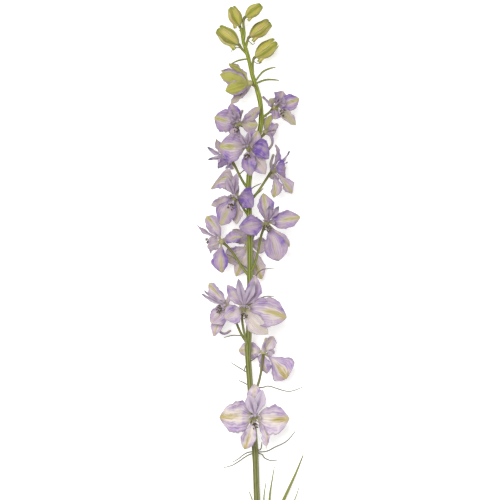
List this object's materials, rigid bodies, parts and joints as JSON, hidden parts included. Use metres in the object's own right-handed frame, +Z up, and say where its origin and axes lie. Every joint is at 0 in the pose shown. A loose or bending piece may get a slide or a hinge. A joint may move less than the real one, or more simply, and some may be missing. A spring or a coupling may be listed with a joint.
{
  "type": "larkspur flower spike",
  "caption": "Cut larkspur flower spike lying on a surface: slender green stem with thread-like bracts, open lavender spurred blooms, half-open ones and green buds at the tip.",
  "frame": {"origin": "on the surface that the spike lies on, under the middle of its bounding box", "axes": "+Y along the stem, from its cut end towards the buds; +Z up, away from the surface and towards the side that the picture shows; +X to the picture's right"},
  "size_m": [0.0608, 0.3279, 0.0383],
  "materials": {
    "stem": "satin",
    "leaf": "satin",
    "sepals": "matte",
    "petals": "matte",
    "stamens": "matte",
    "bud": "satin"
  },
  "bodies": {
    "root": {"stem": "stem", "leaf_1": "leaf", "bloom_01_sepals": "sepals", "bloom_01_petals": "petals", "bloom_01_stamens": "stamens", "bloom_02_sepals": "sepals", "bloom_02_petals": "petals", "bloom_02_stamens": "stamens", "bloom_03_sepals": "sepals", "bloom_03_petals": "petals", "bloom_03_stamens": "stamens", "bloom_04_sepals": "sepals", "bloom_04_petals": "petals", "bloom_04_stamens": "stamens", "bloom_05_sepals": "sepals", "bloom_05_petals": "petals", "bloom_05_stamens": "stamens", "bloom_06_sepals": "sepals", "bloom_06_petals": "petals", "bloom_06_stamens": "stamens", "bloom_07_sepals": "sepals", "bloom_07_petals": "petals", "bloom_07_stamens": "stamens", "bloom_08_sepals": "sepals", "bloom_08_petals": "petals", "bloom_08_stamens": "stamens", "bloom_09_sepals": "sepals", "bloom_09_petals": "petals", "bloom_09_stamens": "stamens", "bloom_10_sepals": "sepals", "bloom_10_petals": "petals", "bloom_10_stamens": "stamens", "bloom_11_sepals": "sepals", "bloom_11_petals": "petals", "bloom_11_stamens": "stamens", "bloom_12_sepals": "sepals", "bloom_12_petals": "petals", "bloom_12_stamens": "stamens", "bloom_13_sepals": "sepals", "bloom_13_petals": "petals", "bloom_13_stamens": "stamens", "bloom_14_sepals": "sepals", "bloom_15_sepals": "sepals", "bud_1": "bud", "bud_2": "bud", "bud_3": "bud", "bud_4": "bud", "bud_5": "bud"}
  },
  "joints": []
}
